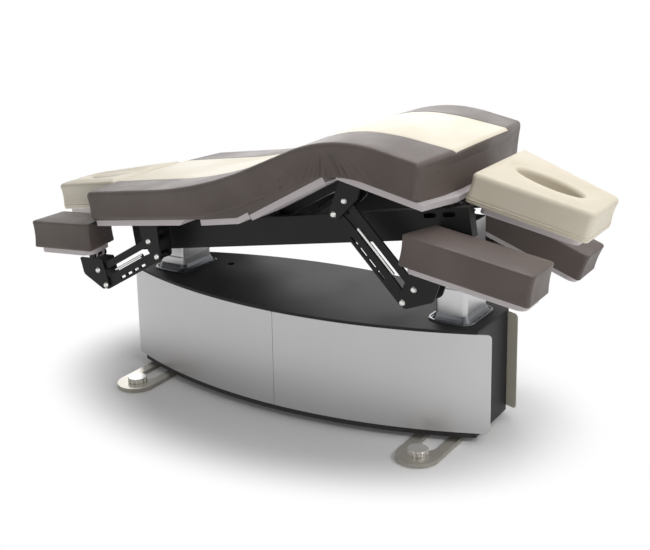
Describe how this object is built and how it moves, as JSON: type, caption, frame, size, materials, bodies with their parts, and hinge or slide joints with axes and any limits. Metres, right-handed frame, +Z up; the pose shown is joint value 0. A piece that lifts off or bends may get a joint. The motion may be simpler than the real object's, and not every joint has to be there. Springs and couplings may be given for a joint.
{
  "type": "massage table",
  "caption": "Powered two-column massage table with a gabled mattress on a tilting deck, link-borne armrests, a face rest and a plugged foot rest.",
  "frame": {"origin": "on the floor under the middle of the whole length, on the table's centre line", "axes": "+X towards the head end with the face rest, +Z up, -Y towards the side that the picture shows"},
  "size_m": [2.2031, 0.84, 1.0301],
  "materials": {
    "upholstery": "smooth grained synthetic leather, satin, with a pale centre stripe on the mattress",
    "base_board": "light warm grey moulded board, satin",
    "steel_knob": "brushed stainless steel, fluted",
    "steel_bar": "brushed stainless steel",
    "black_frame": "black powder coat, satin",
    "black_top": "black satin lacquer",
    "panel_silver": "silver-grey satin metallic",
    "housing_black": "dark powder coat, matte",
    "column_silver": "satin anodised",
    "dark_plastic": "dark grey plastic, matte",
    "steel_rod": "bright plated rod"
  },
  "bodies": {
    "base": {"base_housing": "housing_black", "base_top": "black_top", "side_panels": "panel_silver", "floor_bar_foot": "steel_bar", "floor_bar_head": "steel_bar", "foot_column_sleeve": "column_silver", "head_column_sleeve": "column_silver", "power_unit": "dark_plastic"},
    "foot_stage": {"foot_column_stage": "column_silver"},
    "head_stage": {"head_column_stage": "column_silver"},
    "deck": {"side_beam_near": "black_frame", "side_beam_far": "black_frame", "cross_foot": "black_frame", "cross_mid": "black_frame", "cross_head": "black_frame", "seat_plate": "base_board", "seat_cushion": "upholstery"},
    "leg_section": {"leg_plate": "base_board", "leg_cushion": "upholstery", "leg_frame": "black_frame"},
    "foot_rest": {"foot_rest_bracket": "black_frame", "foot_rest_plate": "base_board", "foot_rest_cushion": "upholstery"},
    "foot_plug": {"foot_rest_plug": "upholstery"},
    "mid_section": {"mid_plate": "base_board", "mid_cushion": "upholstery", "mid_frame": "black_frame", "mattress_crest": "upholstery"},
    "back_section": {"back_plate": "base_board", "back_cushion": "upholstery", "back_frame": "black_frame"},
    "face_rest": {"face_bracket": "black_frame", "face_plate": "base_board", "face_cushion": "upholstery"},
    "actuator": {"actuator_body": "dark_plastic"},
    "push_rod": {"actuator_rod": "steel_rod"},
    "knob_1": {"levelling_knob_1": "steel_knob"},
    "knob_2": {"levelling_knob_2": "steel_knob"},
    "knob_3": {"levelling_knob_3": "steel_knob"},
    "knob_4": {"levelling_knob_4": "steel_knob"},
    "near_head_link": {"near_head_main_link": "black_frame"},
    "near_head_upper_link": {"near_head_side_link": "black_frame"},
    "near_head_clevis": {"near_head_bracket": "black_frame"},
    "near_head_armrest": {"near_head_arm_plate": "base_board", "near_head_arm_cushion": "upholstery"},
    "far_head_link": {"far_head_main_link": "black_frame"},
    "far_head_upper_link": {"far_head_side_link": "black_frame"},
    "far_head_clevis": {"far_head_bracket": "black_frame"},
    "far_head_armrest": {"far_head_arm_plate": "base_board", "far_head_arm_cushion": "upholstery"},
    "near_foot_link": {"near_foot_main_link": "black_frame"},
    "near_foot_upper_link": {"near_foot_side_link": "black_frame"},
    "near_foot_clevis": {"near_foot_bracket": "black_frame"},
    "near_foot_armrest": {"near_foot_arm_plate": "base_board", "near_foot_arm_cushion": "upholstery"},
    "far_foot_link": {"far_foot_main_link": "black_frame"},
    "far_foot_upper_link": {"far_foot_side_link": "black_frame"},
    "far_foot_clevis": {"far_foot_bracket": "black_frame"},
    "far_foot_armrest": {"far_foot_arm_plate": "base_board", "far_foot_arm_cushion": "upholstery"}
  },
  "joints": [
    {"name": "knob_1_turn", "type": "hinge", "parent": "base", "child": "knob_1", "pos_m": [-0.562, -0.315, 0.0183], "axis": [0, 0, 1], "continuous": true},
    {"name": "knob_2_turn", "type": "hinge", "parent": "base", "child": "knob_2", "pos_m": [-0.562, 0.315, 0.0183], "axis": [0, 0, 1], "continuous": true},
    {"name": "knob_3_turn", "type": "hinge", "parent": "base", "child": "knob_3", "pos_m": [0.612, -0.315, 0.0183], "axis": [0, 0, 1], "continuous": true},
    {"name": "knob_4_turn", "type": "hinge", "parent": "base", "child": "knob_4", "pos_m": [0.612, 0.315, 0.0183], "axis": [0, 0, 1], "continuous": true},
    {"name": "column_lift", "type": "slide", "parent": "base", "child": "foot_stage", "axis": [0, 0, 1], "range_m": [0, 0.15]},
    {"name": "deck_tilt", "type": "hinge", "parent": "foot_stage", "child": "deck", "pos_m": [-0.562, 0, 0.54328], "axis": [0, -1, 0], "range_deg": [-9.5, 2]},
    {"name": "head_follow", "type": "slide", "parent": "foot_stage", "child": "head_stage", "axis": [0, 0, 1], "range_m": [-0.1967, 0.0418]},
    {"name": "leg_raise", "type": "hinge", "parent": "deck", "child": "leg_section", "pos_m": [-0.20495, 0, 0.69055], "axis": [0, 1, 0], "range_deg": [0, 12]},
    {"name": "foot_rest_tilt", "type": "hinge", "parent": "leg_section", "child": "foot_rest", "pos_m": [-0.69508, 0, 0.61382], "axis": [0, 1, 0], "range_deg": [-35, 3]},
    {"name": "plug_lift", "type": "slide", "parent": "foot_rest", "child": "foot_plug", "axis": [-0.1891, 0, 0.982], "range_m": [0, 0.13]},
    {"name": "gable_fold", "type": "hinge", "parent": "deck", "child": "mid_section", "pos_m": [0.01456, 0, 0.70372], "axis": [0, 1, 0], "range_deg": [0, 19.5], "deforming": ["mattress_crest"]},
    {"name": "back_fold", "type": "hinge", "parent": "mid_section", "child": "back_section", "pos_m": [0.355, 0, 0.89399], "axis": [0, 1, 0], "range_deg": [-42, 0.2]},
    {"name": "face_rest_tilt", "type": "hinge", "parent": "back_section", "child": "face_rest", "pos_m": [0.7112, 0, 0.80515], "axis": [0, -1, 0], "range_deg": [-30, 15]},
    {"name": "actuator_swing", "type": "hinge", "parent": "deck", "child": "actuator", "pos_m": [0.00242, 0, 0.63469], "axis": [0, 1, 0], "range_deg": [-0.3, 16.25]},
    {"name": "push_rod_slide", "type": "slide", "parent": "actuator", "child": "push_rod", "axis": [0.8249, 0, 0.5653], "range_m": [-0.0189, 0.0003]},
    {"name": "near_head_arm_raise", "type": "hinge", "parent": "back_section", "child": "near_head_link", "pos_m": [0.33013, -0.34, 0.78273], "axis": [0, -1, 0], "range_deg": [-20, 30]},
    {"name": "near_head_upper_swing", "type": "hinge", "parent": "back_section", "child": "near_head_upper_link", "pos_m": [0.36968, -0.34, 0.83128], "axis": [0, -1, 0], "range_deg": [-20.2, 30.2]},
    {"name": "near_head_clevis_swing", "type": "hinge", "parent": "near_head_link", "child": "near_head_clevis", "pos_m": [0.57528, -0.34, 0.53153], "axis": [0, -1, 0], "range_deg": [-30.2, 20.2]},
    {"name": "near_head_pad_tilt", "type": "hinge", "parent": "near_head_clevis", "child": "near_head_armrest", "pos_m": [0.6446, -0.34, 0.63079], "axis": [0, -1, 0], "range_deg": [-10, 6]},
    {"name": "far_head_arm_raise", "type": "hinge", "parent": "back_section", "child": "far_head_link", "pos_m": [0.33013, 0.34, 0.78273], "axis": [0, -1, 0], "range_deg": [-5.6, 44.4]},
    {"name": "far_head_upper_swing", "type": "hinge", "parent": "back_section", "child": "far_head_upper_link", "pos_m": [0.36968, 0.34, 0.83128], "axis": [0, -1, 0], "range_deg": [-5.8, 44.6]},
    {"name": "far_head_clevis_swing", "type": "hinge", "parent": "far_head_link", "child": "far_head_clevis", "pos_m": [0.5051, 0.34, 0.47845], "axis": [0, -1, 0], "range_deg": [-44.6, 5.8]},
    {"name": "far_head_pad_tilt", "type": "hinge", "parent": "far_head_clevis", "child": "far_head_armrest", "pos_m": [0.57443, 0.34, 0.57772], "axis": [0, -1, 0], "range_deg": [-0.3, 17.7]},
    {"name": "near_foot_arm_raise", "type": "hinge", "parent": "leg_section", "child": "near_foot_link", "pos_m": [-0.40469, -0.34, 0.535], "axis": [0, 1, 0], "range_deg": [-30, 12]},
    {"name": "near_foot_upper_swing", "type": "hinge", "parent": "leg_section", "child": "near_foot_upper_link", "pos_m": [-0.44003, -0.34, 0.58668], "axis": [0, 1, 0], "range_deg": [-30.2, 12.2]},
    {"name": "near_foot_clevis_swing", "type": "hinge", "parent": "near_foot_link", "child": "near_foot_clevis", "pos_m": [-0.65386, -0.34, 0.39057], "axis": [0, 1, 0], "range_deg": [-12.2, 30.2]},
    {"name": "near_foot_pad_tilt", "type": "hinge", "parent": "near_foot_clevis", "child": "near_foot_armrest", "pos_m": [-0.71463, -0.34, 0.49529], "axis": [0, 1, 0], "range_deg": [-10, 4]},
    {"name": "far_foot_arm_raise", "type": "hinge", "parent": "leg_section", "child": "far_foot_link", "pos_m": [-0.40469, 0.34, 0.535], "axis": [0, 1, 0], "range_deg": [-30, 12]},
    {"name": "far_foot_upper_swing", "type": "hinge", "parent": "leg_section", "child": "far_foot_upper_link", "pos_m": [-0.44003, 0.34, 0.58668], "axis": [0, 1, 0], "range_deg": [-30.2, 12.2]},
    {"name": "far_foot_clevis_swing", "type": "hinge", "parent": "far_foot_link", "child": "far_foot_clevis", "pos_m": [-0.65386, 0.34, 0.39057], "axis": [0, 1, 0], "range_deg": [-12.2, 30.2]},
    {"name": "far_foot_pad_tilt", "type": "hinge", "parent": "far_foot_clevis", "child": "far_foot_armrest", "pos_m": [-0.71463, 0.34, 0.49529], "axis": [0, 1, 0], "range_deg": [-10, 4]}
  ],
  "couplings": [
    {"joint": "head_follow", "follows": "deck_tilt", "m_per_rad": 1.1831},
    {"joint": "back_fold", "follows": "gable_fold", "ratio": -2.1436},
    {"joint": "actuator_swing", "follows": "gable_fold", "ratio": 0.8179},
    {"joint": "push_rod_slide", "follows": "gable_fold", "m_per_rad": -0.05477},
    {"joint": "near_head_upper_swing", "follows": "near_head_arm_raise", "ratio": 1},
    {"joint": "near_head_clevis_swing", "follows": "near_head_arm_raise", "ratio": -1},
    {"joint": "far_head_upper_swing", "follows": "far_head_arm_raise", "ratio": 1},
    {"joint": "far_head_clevis_swing", "follows": "far_head_arm_raise", "ratio": -1},
    {"joint": "near_foot_upper_swing", "follows": "near_foot_arm_raise", "ratio": 1},
    {"joint": "near_foot_clevis_swing", "follows": "near_foot_arm_raise", "ratio": -1},
    {"joint": "far_foot_upper_swing", "follows": "far_foot_arm_raise", "ratio": 1},
    {"joint": "far_foot_clevis_swing", "follows": "far_foot_arm_raise", "ratio": -1}
  ]
}
